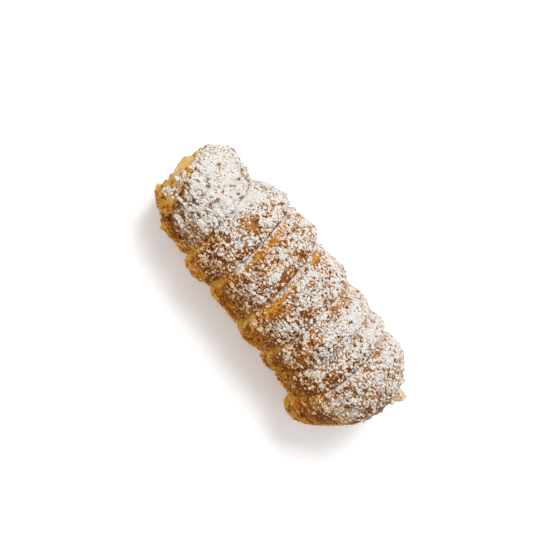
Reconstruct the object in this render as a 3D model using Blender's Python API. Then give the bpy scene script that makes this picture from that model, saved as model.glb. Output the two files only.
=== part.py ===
"""A cannolo: a strip of puff pastry wound in a spiral round a core of custard, lying on its side.

The tube's axis runs along X, with the wide mouth at -X and the closed-in tail at +X. Angles round the
tube are measured from the top (+Z) towards +Y. The strip is wound so that its seam moves towards +X as
the angle falls, and each turn of the strip puffs up into a band. A place on the strip is given by its
turn number and by how far across the strip it lies. Everything is in metres.
"""

import math

import bmesh
import bpy
import numpy as np
from mathutils import Vector, noise

# Where the seam crosses the front flank, turn by turn, from the mouth to the tip of the tail.
SEAM_PLACES = (-0.0600, -0.0342, -0.0200, -0.0029, 0.0150, 0.0283, 0.0376, 0.0605)
FRONT_FLANK = math.radians(-21)

# The tube's outer form.
TUBE_RADIUS = 0.0217
FIRST_BAND_RADIUS = 0.0193
FIRST_BAND_SAG, SAG_DIRECTION = 0.0013, (-0.935, -0.357)
MOUTH_DOME_START, MOUTH_DOME_LENGTH = -0.0500, 0.0112
TAIL_DOME_START, TAIL_DOME_LENGTH = 0.0400, 0.0208
# Two shallow hollows of the first band: where, how long, towards which angle, how wide and how deep.
WAIST = (-0.0440, 0.0075, math.radians(65), math.radians(75), 0.0020)
MOUTH_HOLLOW = (-0.0520, 0.0055, math.radians(-105), math.radians(42), 0.0040)
RESTING_DEPTH = 0.0204
# How far the middle bands clear the ground, about which place and how far out, and how much of it is level.
UNDERSIDE_BOW, BOW_MIDDLE, BOW_REACH, BOW_FULLNESS = 0.00017, 0.0061, 0.040, 1.1
TUBE_AXIS_SHIFT = (-0.0006, 0.0023)

# The strip: how deep its seams are, how square its puffed section is, how far an edge stands proud and leans
# over the next turn, the ledge of broken layers along that edge, and the crags of its crust.
SEAM_DEPTH = 0.0030
CROWN_POWER, PROUD_POWER, LOW_POWER = 3.0, 5.0, 1.2
EDGE_LIFT = 0.0011
EDGE_LEAN = 0.0009
LEDGE_DROP, LEDGE_FROM, LEDGE_TO = 0.0005, 0.78, 0.85
CRAG_HEIGHTS = (0.0012, 0.0009)
STATIONS_ACROSS = (0.0, 0.035, 0.11, 0.25, 0.44, 0.62, 0.77, 0.855, 0.965)
STEPS_ROUND = 72

# The puffed end of the strip, low on the front flank near the tail.
TAIL_FOLD_PLACE, TAIL_FOLD_LENGTH = 0.0395, 0.0095
TAIL_FOLD_ANGLE, TAIL_FOLD_SPREAD = math.radians(-98), math.radians(33)
TAIL_FOLD_HEIGHT = 0.0043
SEAM_PULL, SEAM_PULL_ANGLE, SEAM_PULL_SPREAD = 0.009, math.radians(-105), math.radians(45)

# Split layers along both lower flanks.
LAYER_PITCH, LAYER_DEPTH = math.radians(15), 0.0007
LAYER_ANGLE, LAYER_SPREAD = math.radians(108), math.radians(26)

# The mouth: its outer edge is cut back on the front flank, where the strip starts.
MOUTH_EDGE, MOUTH_SLANT, MOUTH_CUTBACK = -0.0592, 0.0024, 0.0108
SLANT_ANGLE = math.radians(40)
CUTBACK_ANGLE, CUTBACK_SPREAD = math.radians(-90), math.radians(72)
MOUTH_LIP = -0.0592
LIP_DIP, LOWER_DIP, LOWER_ANGLE = 0.0017, 0.0020, math.radians(-122)
TAIL_EDGE, TAIL_LIP = 0.0590, 0.0585
FLAKE_FROM, FLAKE_LENGTH, FLAKE_ANGLE, FLAKE_SPREAD = 0.0558, 0.0030, math.radians(42), math.radians(17)
TIP_LENGTH, TIP_ANGLE, TIP_SPREAD = 0.0014, math.radians(-88), math.radians(6)
FACE_RINGS = 6
FACE_STEP, FACE_RIPPLE = 0.0009, 0.0004

# The bore and the custard in it.
BORE_RADIUS, MOUTH_BORE_RADIUS, TAIL_BORE_RADIUS = 0.0112, 0.0088, 0.0060
MOUTH_BORE_SHIFT = (-0.0030, -0.0011)
MOUTH_FLARE, FLARE_FROM, FLARE_LENGTH, FLARE_SPREAD = 0.0066, -0.052, 0.005, math.radians(42)
BORE_STATIONS = (-0.052, -0.045, -0.020, 0.020, 0.045, 0.054)
TOUCHING_GAP = 0.0003
CUSTARD_ENDS = (-0.0566, 0.0578)
CUSTARD_BULGE, TAIL_BULGE = 0.0050, 0.0020
CUSTARD_DOME_RINGS = 4
CUSTARD_LUMPS, CUSTARD_LUMP_SCALE = 0.45, 260
BLOB_SIDE, BLOB_LOW, BLOB_HIGH, BLOB_SHARE = (0.93, 0.36), -0.007, 0.001, 0.6

CRUST_COLOUR = (0.52, 0.25, 0.07, 1.0)
CUSTARD_COLOUR = (0.80, 0.55, 0.12, 1.0)


def clear_scene():
    for obj in list(bpy.data.objects):
        bpy.data.objects.remove(obj)


def make_material(name, colour, roughness):
    material = bpy.data.materials.new(name)
    material.use_nodes = True
    shader = material.node_tree.nodes["Principled BSDF"]
    shader.inputs["Base Color"].default_value = colour
    shader.inputs["Roughness"].default_value = roughness
    shader.inputs["Metallic"].default_value = 0.0
    return material


def ramp(value, low, high):
    """0 below low, 1 above high, and smooth between."""
    part = min(max((value - low) / (high - low), 0.0), 1.0)
    return part * part * (3 - 2 * part)


def hill(angle, centre, spread):
    """A smooth hill of height 1 round the tube."""
    away = math.remainder(angle - centre, 2 * math.pi)
    return math.exp(-((away / spread) ** 2))


def rough(scale, *place):
    """Smooth noise between about -1 and 1."""
    return noise.noise(Vector(place) * scale)


def seam_place(turn):
    """Where along the tube a number of turns has come to on the front flank, eased from turn to turn."""
    turns = np.arange(-1.0, len(SEAM_PLACES) + 1)
    first, last = np.diff(SEAM_PLACES)[[0, -1]]
    places = np.concatenate([[SEAM_PLACES[0] - first], SEAM_PLACES, [SEAM_PLACES[-1] + last]])
    return float(np.mean([np.interp(turn + shift, turns, places) for shift in (-0.2, 0.0, 0.2)]))


def turn_table():
    turns = np.linspace(-1.0, len(SEAM_PLACES), 500)
    return turns, np.array([seam_place(turn) for turn in turns])


TURNS, PLACES = turn_table()


def turn_at(place):
    return float(np.interp(place, PLACES, TURNS))


def seam_pull(turn, angle):
    """The last turns slant the other way on the front flank, where the strip's end pulls them back."""
    share = float(np.interp(turn, (3.2, 6.2, 7.4), (0.0, 1.0, 0.0)))
    return -SEAM_PULL * share * hill(angle, SEAM_PULL_ANGLE, SEAM_PULL_SPREAD)


def envelope(place):
    """The tube's outer radius over the crowns of the bands."""
    radius = FIRST_BAND_RADIUS + (TUBE_RADIUS - FIRST_BAND_RADIUS) * ramp(place, -0.038, -0.028)
    mouthward = max(MOUTH_DOME_START - place, 0.0) / MOUTH_DOME_LENGTH
    tailward = max(min(place, TAIL_EDGE) - TAIL_DOME_START, 0.0) / TAIL_DOME_LENGTH
    return radius * math.sqrt(max(1 - mouthward**2 - tailward**2, 0.02))


def dome_place(place, angle):
    """The place that sets the tube's radius: the flake runs on straight from where the dome bends in."""
    return place - max(place - FLAKE_FROM, 0.0) * hill(angle, FLAKE_ANGLE, FLAKE_SPREAD)


def hollow(place, angle, middle, length, centre, spread, depth):
    """How far a hollow draws the crust in."""
    return depth * math.exp(-(((place - middle) / length) ** 2)) * hill(angle, centre, spread)


def axis_sag(place):
    """The first band hangs a little towards the front, as (y, z)."""
    share = FIRST_BAND_SAG * (1 - ramp(place, -0.040, -0.026))
    return SAG_DIRECTION[0] * share, SAG_DIRECTION[1] * share


def mouth_edge(angle):
    jagged = 0.0007 * rough(1.0, 3.1 * math.cos(angle), 3.1 * math.sin(angle), 0.4)
    slant = MOUTH_SLANT * (1 - math.cos(angle - SLANT_ANGLE)) / 2
    return MOUTH_EDGE + slant + MOUTH_CUTBACK * hill(angle, CUTBACK_ANGLE, CUTBACK_SPREAD) + jagged


def mouth_lip(angle):
    """The inner edge of the mouth, ragged, with one sharp tip of a broken layer."""
    jagged = 0.0012 * rough(1.0, 5.3 * math.cos(angle), 5.3 * math.sin(angle), 7.9)
    dip = LIP_DIP * hill(angle, FRONT_FLANK, FLARE_SPREAD)
    dip += LOWER_DIP * hill(angle, LOWER_ANGLE, FLARE_SPREAD)
    return MOUTH_LIP + dip + jagged - TIP_LENGTH * hill(angle, TIP_ANGLE, TIP_SPREAD)


def tail_edge(angle):
    return TAIL_EDGE + FLAKE_LENGTH * hill(angle, FLAKE_ANGLE, FLAKE_SPREAD)


def tail_lip(angle):
    return TAIL_LIP + 0.0005 * rough(1.0, 4.0 * math.cos(angle), 4.0 * math.sin(angle), 2.2)


def band_height(across, tilt):
    """The puffed section of the strip: 0 at its edges and 1 over its crown, squarer at the proud edge."""
    proud = tilt if across > 0.5 else -tilt
    power = CROWN_POWER + (PROUD_POWER if proud > 0 else LOW_POWER) * proud
    return math.sqrt(1 - abs(2 * across - 1) ** power)


def edge_tilt(angle):
    """Over the top the edge towards the tail stands proud, and low on the front the other one does."""
    return math.cos(angle - math.radians(20))


def split_layers(angle, along):
    """Steps of opened layers on the lower flanks, each a slope that ends in a short drop."""
    share = hill(angle, -LAYER_ANGLE, LAYER_SPREAD) + hill(angle, LAYER_ANGLE, LAYER_SPREAD)
    step = (abs(angle) / LAYER_PITCH + 0.8 * rough(1.0, 5 * math.cos(along), 5 * math.sin(along), 1.0)) % 1.0
    return LAYER_DEPTH * share * (step - 0.5)


def strip_point(turn, angle):
    """A point of the pastry's outer face, for a turn number counted on the front flank."""
    wound = turn + (angle - FRONT_FLANK) / (2 * math.pi)
    band = math.floor(wound + 1e-9)
    across = max(wound - band, 0.0)
    along = band - angle / (2 * math.pi)
    tilt = edge_tilt(angle)
    lean = max(tilt, 0) * ramp(across, 0.80, 0.96) - max(-tilt, 0) * ramp(-across, -0.20, -0.03)
    place = seam_place(turn) + seam_pull(turn, angle)
    full_radius = envelope(dome_place(place, angle))
    size = full_radius / TUBE_RADIUS
    crown = band_height(across, tilt)
    height = SEAM_DEPTH * (crown - 1) + EDGE_LIFT * tilt * (2 * across - 1) * crown
    height -= LEDGE_DROP * max(tilt, 0) * ramp(across, LEDGE_FROM, LEDGE_TO)
    height += CRAG_HEIGHTS[0] * rough(1.0, 8.0 * along, 1.3 * across, 4.7)
    height += CRAG_HEIGHTS[1] * rough(1.0, 22.0 * along, 3.5 * across, 9.1)
    height += split_layers(angle, along) - hollow(place, angle, *WAIST) - hollow(place, angle, *MOUTH_HOLLOW)
    fold = (place - TAIL_FOLD_PLACE) / TAIL_FOLD_LENGTH
    height += TAIL_FOLD_HEIGHT * math.exp(-(fold**4)) * hill(angle, TAIL_FOLD_ANGLE, TAIL_FOLD_SPREAD)
    radius = full_radius + height * (0.35 + 0.65 * size)
    sag_y, sag_z = axis_sag(place)
    along_tube = place + EDGE_LEAN * lean * size
    return Vector((along_tube, radius * math.sin(angle) + sag_y, radius * math.cos(angle) + sag_z))


def bore_point(place, angle, gap=0.0):
    """A point of the bore's wall, or of the custard that keeps a gap to it."""
    mouthward, tailward = ramp(-place, 0.036, 0.056), ramp(place, 0.030, 0.056)
    radius = BORE_RADIUS + (MOUTH_BORE_RADIUS - BORE_RADIUS) * mouthward
    radius += (TAIL_BORE_RADIUS - BORE_RADIUS) * tailward - gap
    flare = MOUTH_FLARE * max(FLARE_FROM - place, 0) / FLARE_LENGTH
    radius += flare * hill(angle, FRONT_FLANK, FLARE_SPREAD)
    shift_y, shift_z = (shift * mouthward for shift in MOUTH_BORE_SHIFT)
    return Vector((place, radius * math.sin(angle) + shift_y, radius * math.cos(angle) + shift_z))


def edge_turns(angle):
    """The turn numbers, counted on the front flank, at which the mouth and the tail cut the strip."""
    return turn_at(mouth_edge(angle)), turn_at(tail_edge(angle))


def wound_grid(bm):
    """The outer face: a grid that follows the wound strip, cut where the mouth and the tail cut it."""
    bands = range(-1, len(SEAM_PLACES) + 1)
    stations = [band + across for band in bands for across in STATIONS_ACROSS]
    bmesh.ops.create_grid(bm, x_segments=len(stations) - 1, y_segments=STEPS_ROUND, size=0.5)
    angles = bm.verts.layers.float.new("angle")
    snap = 0.06
    for vert in bm.verts:
        station = stations[round((vert.co.x + 0.5) * (len(stations) - 1))]
        angle = math.pi - 2 * math.pi * round((vert.co.y + 0.5) * STEPS_ROUND) / STEPS_ROUND
        turn = station - (angle - FRONT_FLANK) / (2 * math.pi)
        first, last = edge_turns(angle)
        if turn < first + snap:
            turn = first
        elif turn > last - snap:
            turn = last
        vert.co = strip_point(turn, angle)
        vert[angles] = angle
    bmesh.ops.remove_doubles(bm, verts=bm.verts, dist=2e-5)


def rim_edges(bm, tail):
    return [edge for edge in bm.edges if edge.is_boundary and (edge.verts[0].co.x > 0) == tail]


def extend_ring(bm, ring, place_vert):
    """Extrudes a ring of edges and moves each new vertex by a function of where it was and its angle."""
    made = bmesh.ops.extrude_edge_only(bm, edges=ring)["geom"]
    for vert in (item for item in made if isinstance(item, bmesh.types.BMVert)):
        vert.co = place_vert(vert)
    return [item for item in made if isinstance(item, bmesh.types.BMEdge) and item.is_boundary]


def face_point(edge, lip, angle, share):
    """A point of the wall's broken end: a step down from the crust's edge, then a rippled round."""
    middle = Vector((lip.x, (edge.y + lip.y) / 2, (edge.z + lip.z) / 2))
    outward = Vector((0, math.sin(angle), math.cos(angle)))
    corner = edge - FACE_STEP * outward
    point = lip.lerp(corner, math.sqrt(max(1 - share**2, 0.0)))
    point.x = corner.x + (lip.x - corner.x) * share
    swell = FACE_RIPPLE * math.cos(share * (FACE_RINGS - 1) * math.pi) * (share < 1)
    swell *= 1 + 0.8 * rough(1.0, 6 * math.cos(angle), 6 * math.sin(angle), 9 * share)
    return point + swell * (point - middle).normalized()


def layered_face(bm, ring, angle_of, lip_place):
    """Closes the wall's end, ring by ring, from the crust's edge to the bore's lip."""
    edges = {round(angle_of(vert), 4): vert.co.copy() for edge in ring for vert in edge.verts}
    for step in range(FACE_RINGS):

        def settle(vert, share=step / (FACE_RINGS - 1)):
            angle = angle_of(vert)
            return face_point(edges[round(angle, 4)], bore_point(lip_place(angle), angle), angle, share)

        ring = extend_ring(bm, ring, settle)
    return ring


def build_shell():
    bm = bmesh.new()
    wound_grid(bm)
    layer = bm.verts.layers.float["angle"]

    def angle_of(vert):
        return vert[layer]

    ring = layered_face(bm, rim_edges(bm, tail=False), angle_of, mouth_lip)
    for station in BORE_STATIONS:
        ring = extend_ring(bm, ring, lambda vert, station=station: bore_point(station, angle_of(vert)))
    far_edges = [edge for edge in rim_edges(bm, tail=True) if edge not in set(ring)]
    far_ring = layered_face(bm, far_edges, angle_of, tail_lip)
    bmesh.ops.bridge_loops(bm, edges=ring + far_ring)
    finish_mesh(bm, "pastry_shell", CRUST_COLOUR, 0.6)


def custard_point(share, angle):
    """A point of the custard: its ends bulge out of the bore, its side keeps clear of the wall."""
    rings = 2 * CUSTARD_DOME_RINGS + len(BORE_STATIONS) + 1
    step = round(share * rings)
    if CUSTARD_DOME_RINGS < step < rings - CUSTARD_DOME_RINGS:
        return bore_point(BORE_STATIONS[step - CUSTARD_DOME_RINGS - 1], angle, TOUCHING_GAP)
    at_mouth = step <= CUSTARD_DOME_RINGS
    from_end = step if at_mouth else rings - step
    rise = 1 - from_end / CUSTARD_DOME_RINGS
    base = CUSTARD_ENDS[0] if at_mouth else CUSTARD_ENDS[1]
    rim = bore_point(base, angle, TOUCHING_GAP)
    middle = sum((bore_point(base, quarter * math.pi / 2) for quarter in range(4)), Vector()) / 4
    spread = math.cos(rise * math.pi / 2)
    point = middle.lerp(rim, spread)
    bulge = math.sin(rise * math.pi / 2)
    lumps = 1 + CUSTARD_LUMPS * rough(CUSTARD_LUMP_SCALE, point.y, point.z, base / 80)
    if at_mouth:
        upward = ramp(BLOB_SIDE[0] * point.y + BLOB_SIDE[1] * point.z, BLOB_LOW, BLOB_HIGH)
        point.x -= CUSTARD_BULGE * bulge * lumps * (1 - BLOB_SHARE + BLOB_SHARE * upward)
    else:
        point.x += TAIL_BULGE * bulge * lumps
    return point


def build_custard():
    bm = bmesh.new()
    rings = 2 * CUSTARD_DOME_RINGS + len(BORE_STATIONS) + 1
    bmesh.ops.create_grid(bm, x_segments=rings, y_segments=STEPS_ROUND, size=0.5)
    for vert in bm.verts:
        angle = 2 * math.pi * round((vert.co.y + 0.5) * STEPS_ROUND) / STEPS_ROUND - math.pi
        vert.co = custard_point(vert.co.x + 0.5, angle)
    bmesh.ops.remove_doubles(bm, verts=bm.verts, dist=2e-5)
    finish_mesh(bm, "custard_filling", CUSTARD_COLOUR, 0.35)


def underside(place):
    """The height of the flattened underside, bowed up a hair, so that the outer bands carry the weight."""
    bow = BOW_FULLNESS * (1 - ((place - BOW_MIDDLE) / BOW_REACH) ** 2)
    return UNDERSIDE_BOW * min(max(bow, 0.0), 1.0) - RESTING_DEPTH


def set_down(bm):
    """Flattens the underside, and brings it to the ground, with the box about the origin."""
    for vert in bm.verts:
        vert.co.z = max(vert.co.z, underside(vert.co.x))
    bmesh.ops.translate(bm, verts=bm.verts, vec=(*TUBE_AXIS_SHIFT, RESTING_DEPTH))


def finish_mesh(bm, name, colour, roughness):
    set_down(bm)
    bmesh.ops.dissolve_degenerate(bm, dist=1e-5, edges=bm.edges)
    bmesh.ops.triangulate(bm, faces=bm.faces)
    bmesh.ops.recalc_face_normals(bm, faces=bm.faces)
    if bm.calc_volume(signed=True) < 0:
        bmesh.ops.reverse_faces(bm, faces=bm.faces)
    mesh = bpy.data.meshes.new(name)
    bm.to_mesh(mesh)
    bm.free()
    mesh.shade_smooth()
    mesh.materials.append(make_material(name, colour, roughness))
    obj = bpy.data.objects.new(name, mesh)
    bpy.context.scene.collection.objects.link(obj)


clear_scene()
build_shell()
build_custard()
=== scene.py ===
"""A custard cannolo dressed for show: its baked strip of puff pastry, the custard and the icing sugar.

The tube lies along X with its mouth at -X. Angles round it are measured from the top towards +Y, in
radians, and in degrees where a hill, a patch or a fade round the tube is set. Every length is in metres.
"""

import logging
import math
import random
from bisect import bisect
from dataclasses import dataclass, field
from enum import Enum
from itertools import accumulate
from typing import Callable, Iterable

import bmesh
import bpy
import numpy as np
from bmesh.types import BMEdge, BMesh, BMVert
from bpy.types import Material, Node, NodeSocket, Object
from mathutils import Matrix, Vector, noise


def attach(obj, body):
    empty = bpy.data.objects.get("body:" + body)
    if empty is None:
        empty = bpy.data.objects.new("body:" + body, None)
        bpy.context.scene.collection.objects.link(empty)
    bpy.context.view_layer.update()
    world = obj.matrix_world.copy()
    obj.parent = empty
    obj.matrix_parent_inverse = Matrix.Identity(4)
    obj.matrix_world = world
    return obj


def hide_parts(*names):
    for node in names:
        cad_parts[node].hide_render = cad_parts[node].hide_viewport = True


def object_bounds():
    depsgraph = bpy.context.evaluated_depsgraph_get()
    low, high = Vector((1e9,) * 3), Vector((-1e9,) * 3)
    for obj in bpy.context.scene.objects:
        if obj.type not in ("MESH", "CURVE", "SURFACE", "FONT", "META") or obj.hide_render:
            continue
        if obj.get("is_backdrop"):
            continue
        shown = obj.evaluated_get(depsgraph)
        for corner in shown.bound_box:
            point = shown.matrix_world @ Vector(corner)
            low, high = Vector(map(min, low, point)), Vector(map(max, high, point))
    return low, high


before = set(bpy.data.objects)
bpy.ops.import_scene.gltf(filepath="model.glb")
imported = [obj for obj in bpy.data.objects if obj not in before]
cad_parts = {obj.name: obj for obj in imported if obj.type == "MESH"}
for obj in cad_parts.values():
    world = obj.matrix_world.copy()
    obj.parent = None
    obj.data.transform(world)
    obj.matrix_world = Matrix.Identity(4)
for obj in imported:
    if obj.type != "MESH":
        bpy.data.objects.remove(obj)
CAD_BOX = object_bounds()

log = logging.getLogger("cannolo")

Colour = tuple[float, float, float, float]
Ring = list[BMEdge]
Mottle = tuple[tuple[float, float], ...]
Mix = tuple[tuple[str, float], ...]
Details = dict[str, float]


class Slot(Enum):
    """The material slots of the pastry."""

    CRUST = "crust"
    CUSTARD = "custard"
    SUGAR = "icing_sugar"


# ---------------------------------------------------------------- shading tools


class Shop:
    """Adds shader nodes to one material."""

    def __init__(self, name: str) -> None:
        """Starts an empty material.

        Args:
            name: The material's name.
        """
        self.material = bpy.data.materials.new(name)
        self.material.use_nodes = True
        self.tree = self.material.node_tree
        self.tree.nodes.clear()

    def add(self, kind: str, settings: dict[str, object], inputs: dict) -> Node:
        """Adds a node, sets it up, and fills or links its sockets.

        Args:
            kind: The node's type, without its ShaderNode prefix.
            settings: The node's own settings.
            inputs: A number, colour, Value or socket for each socket's name or number.

        Returns:
            The new node.
        """
        node = self.tree.nodes.new("ShaderNode" + kind)
        for name, setting in settings.items():
            setattr(node, name, setting)
        for name, given in inputs.items():
            socket = node.inputs[name]
            given = given.socket if isinstance(given, Value) else given
            if isinstance(given, NodeSocket):
                self.tree.links.new(given, socket)
            else:
                socket.default_value = given
        return node

    def value(self, kind: str, settings: dict[str, object], inputs: dict, output: str) -> "Value":
        """Adds a node and gives one of its outputs as a Value."""
        return Value(self, self.add(kind, settings, inputs).outputs[output])

    def place(self) -> NodeSocket:
        """The point's place in the piece's own metres."""
        return self.add("TexCoord", {}, {}).outputs["Object"]

    def low_flank(self) -> "Value":
        """1 low on the front flank, less on the first band, 0 from there upwards and round the back: the mask
        of the painted warm bounce light on the sugar.

        Returns:
            The share.
        """
        parts = self.add("SeparateXYZ", {}, {"Vector": self.place()}).outputs
        along, beside, level = (Value(self, parts[axis]) for axis in "XYZ")
        low = (1 - level.step(0.027, 0.043)) * (1 - beside.step(-0.016, -0.005))
        return low * (along.step(-0.046, -0.036) * 0.7 + 0.3)

    def painted(self, name: str) -> "Value":
        """A number stored on the piece's vertices."""
        return self.value("Attribute", {"attribute_name": name}, {}, "Fac")

    def cloud(self, scale: float, detail: float = 2.0, rough: float = 0.5) -> "Value":
        """Soft noise round 0.5."""
        sizes = {"Vector": self.place(), "Scale": scale, "Detail": detail, "Roughness": rough}
        return self.value("TexNoise", {}, sizes, "Fac")

    def cells(self, scale: float) -> "Value":
        """Distance to the nearest of many scattered points."""
        sizes = {"Vector": self.place(), "Scale": scale}
        return self.value("TexVoronoi", {"feature": "F1"}, sizes, "Distance")

    def cobble(self, scale: float) -> "Value":
        """How far a point is from the gaps between packed grains, which are longer along the tube.

        Args:
            scale: How many grains there are to a metre.

        Returns:
            The distance, in grains.
        """
        sizes = {0: self.place(), 1: (0.62, 1.0, 1.0)}
        longer = self.add("VectorMath", {"operation": "MULTIPLY"}, sizes).outputs["Vector"]
        gaps = {"feature": "DISTANCE_TO_EDGE"}
        return self.value("TexVoronoi", gaps, {"Vector": longer, "Scale": scale}, "Distance")

    def blend(self, share: "Value", first: object, second: object) -> NodeSocket:
        """Goes from the first colour to the second one as share goes from 0 to 1."""
        node = self.add("Mix", {"data_type": "RGBA"}, {"Factor": share, 6: first, 7: second})
        return node.outputs[2]

    def bump(self, height: "Value", distance: float, strength: float) -> NodeSocket:
        """Turns a height into a bent normal."""
        sizes = {"Height": height, "Distance": distance, "Strength": strength}
        return self.add("Bump", {}, sizes).outputs["Normal"]

    def coat(self, inputs: dict) -> NodeSocket:
        """A Principled surface."""
        return self.add("BsdfPrincipled", {}, inputs).outputs["BSDF"]

    def close(self, surface: NodeSocket) -> Material:
        """Ends the material with a surface."""
        self.add("OutputMaterial", {}, {"Surface": surface})
        return self.material


class Value:
    """A number socket on which Python's operators add Math nodes."""

    def __init__(self, shop: Shop, socket: NodeSocket) -> None:
        """Wraps a socket of one of the shop's nodes."""
        self.shop, self.socket = shop, socket

    def _math(self, operation: str, first: object, second: object) -> "Value":
        """Adds one Math node on two values."""
        return self.shop.value("Math", {"operation": operation}, {0: first, 1: second}, "Value")

    def __add__(self, other: object) -> "Value":
        """Sum."""
        return self._math("ADD", self, other)

    __radd__ = __add__

    def __sub__(self, other: object) -> "Value":
        """Difference."""
        return self._math("SUBTRACT", self, other)

    def __rsub__(self, other: object) -> "Value":
        """Difference from a number."""
        return self._math("SUBTRACT", other, self)

    def __mul__(self, other: object) -> "Value":
        """Product."""
        return self._math("MULTIPLY", self, other)

    __rmul__ = __mul__

    def step(self, low: float, high: float) -> "Value":
        """0 below low, 1 above high, and smooth between."""
        sizes = {"Value": self, "From Min": low, "From Max": high}
        return self.shop.value("MapRange", {"interpolation_type": "SMOOTHSTEP"}, sizes, "Result")


# ---------------------------------------------------------------- finishes


@dataclass(frozen=True)
class CrustFinish:
    """Baked puff pastry under a broken coat of icing sugar."""

    crumb: Colour = (0.80, 0.54, 0.15, 1.0)
    pale: Colour = (0.70, 0.40, 0.075, 1.0)
    golden: Colour = (0.70, 0.295, 0.016, 1.0)
    deep: Colour = (0.42, 0.125, 0.003, 1.0)
    # The darkest brown: scorched crust, and the deepest painted shade in the holes and gaps.
    scorched_and_shade: Colour = (0.095, 0.022, 0.001, 1.0)
    dusting: Colour = (0.67, 0.38, 0.13, 1.0)
    thin_sugar: Colour = (0.80, 0.63, 0.46, 1.0)
    sugar: Colour = (0.80, 0.77, 0.73, 1.0)
    dulled: Colour = (0.27, 0.145, 0.070, 1.0)
    painted_warm_bounce: Colour = (0.86, 0.575, 0.30, 1.0)

    def build(self) -> Material:
        """Makes the material, which reads the vertex numbers sugar, bake and film.

        Returns:
            The material.
        """
        shop = Shop("crust_and_sugar")
        bake, sugar, film = (shop.painted(name) for name in ("bake", "sugar", "film"))
        mottle, freckle = shop.cloud(260, 3), shop.cloud(1500, 2)
        grain = shop.cobble(900).step(0.02, 0.36)
        fine = shop.cobble(1900).step(0.0, 0.40)
        holes = 1 - shop.cells(430).step(0.12, 0.26)
        # Painted shade and highlight: the crust darkens in the gaps between grains and in the sugar's holes,
        # and pales on the grains' tops.
        browning_and_shade = bake + (mottle - 0.5) * 0.5 + (freckle - 0.5) * 0.35 - (grain - 0.6) * 0.4
        browning_and_shade = browning_and_shade - (fine - 0.5) * 0.25 + holes * 0.5
        crust = shop.blend(browning_and_shade.step(-0.60, 0.0), self.crumb, self.pale)
        crust = shop.blend(browning_and_shade.step(0.05, 0.42), crust, self.golden)
        crust = shop.blend(browning_and_shade.step(0.40, 0.80), crust, self.deep)
        # The darkest brown is scorched crust, and also the painted shade where it is deepest in the holes and
        # gaps.
        crust = shop.blend(browning_and_shade.step(0.90, 1.30), crust, self.scorched_and_shade)
        crust = shop.blend(film + (freckle - 0.5) * film, crust, self.dulled)
        cover = sugar + (grain - 0.62) * 1.15 + (fine - 0.55) * 0.45 + (freckle - 0.5) * 0.5 - holes * 1.1
        coated = cover.step(-0.34, 0.05)
        white = shop.blend(cover.step(-0.15, 0.25), self.dusting, self.thin_sugar)
        white = shop.blend((cover * 0.45 + sugar * 0.65).step(0.10, 0.75), white, self.sugar)
        # Painted warm bounce light: the sugar low on the front flank is tinted warm, as if lit by light thrown
        # back from the crust.
        white = shop.blend(shop.low_flank() * 0.9, white, self.painted_warm_bounce)
        baked = shop.coat({
            "Base Color": crust,
            "Roughness": freckle * 0.3 + 0.38,
            "Specular IOR Level": 0.12,
            "Normal": shop.bump(freckle + mottle + grain, 0.0006, 0.7),
        })
        dusted = shop.coat({
            "Base Color": white,
            "Roughness": 0.85,
            "Specular IOR Level": 0.10,
            "Normal": shop.bump(grain + fine * 0.4 + coated * 0.4 + freckle * 0.3, 0.0005, 0.8),
        })
        mixed = shop.add("MixShader", {}, {0: coated, 1: baked, 2: dusted})
        return shop.close(mixed.outputs["Shader"])


@dataclass(frozen=True)
class CustardFinish:
    """Glossy egg custard with a duller skin where it dried."""

    bright: Colour = (0.54, 0.29, 0.010, 1.0)
    dull: Colour = (0.53, 0.33, 0.030, 1.0)
    amber: Colour = (0.46, 0.19, 0.010, 1.0)

    def build(self) -> Material:
        """Makes the material, which reads the vertex number dry.

        Returns:
            The material.
        """
        shop = Shop("custard_skin")
        dry, swirl = shop.painted("dry"), shop.cloud(330, 3)
        body = shop.blend((swirl + dry * 0.5).step(0.42, 0.80), self.bright, self.dull)
        body = shop.blend((shop.cloud(420, 3) + dry * 0.08).step(0.55, 0.72), body, self.amber)
        surface = shop.coat({
            "Base Color": body,
            "Roughness": dry * 0.35 + 0.2,
            "Normal": shop.bump(swirl, 0.0006, 0.7),
        })
        return shop.close(surface)


@dataclass(frozen=True)
class SugarFinish:
    """Damp clumps of icing sugar, tinted warm low on the front flank as painted bounce light."""

    white: Colour = (0.82, 0.79, 0.755, 1.0)
    soaked: Colour = (0.82, 0.56, 0.32, 1.0)

    def build(self) -> Material:
        """Makes the material, which reads the vertex number soaked.

        Returns:
            The material.
        """
        shop = Shop("sugar_clump")
        grain, soaked = shop.cloud(2800, 2, 0.6), shop.painted("soaked")
        # The soaked colour is the sugar's own colour where it lies thin on the crust. Low on the front flank
        # it is painted warm bounce light.
        soak_and_bounce = soaked + shop.low_flank() * 0.55 + (shop.cloud(700, 2) - 0.5) * 0.8
        surface = shop.coat({
            "Base Color": shop.blend(soak_and_bounce.step(0.0, 1.0), self.white, self.soaked),
            "Roughness": 0.85,
            "Specular IOR Level": 0.10,
            "Normal": shop.bump(grain, 0.0003, 0.7),
        })
        return shop.close(surface)


@dataclass(frozen=True)
class FloorFinish:
    """Smooth near-white card, lit a little from below."""

    card: Colour = (0.94, 0.96, 0.98, 1.0)
    shade: Colour = (0.93, 0.95, 0.97, 1.0)
    glow: float = 0.185

    def build(self) -> Material:
        """Makes the material.

        Returns:
            The material.
        """
        shop = Shop("pale_card")
        tint = shop.blend(shop.cloud(9, 2).step(0.4, 0.6), self.card, self.shade)
        glow = {"Emission Color": self.card, "Emission Strength": self.glow}
        return shop.close(shop.coat({"Base Color": tint, "Roughness": 0.9, **glow}))


# ---------------------------------------------------------------- form


def ramp(value: float, low: float, high: float) -> float:
    """0 below low, 1 above high, and smooth between."""
    part = min(max((value - low) / (high - low), 0.0), 1.0)
    return part * part * (3 - 2 * part)


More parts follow.
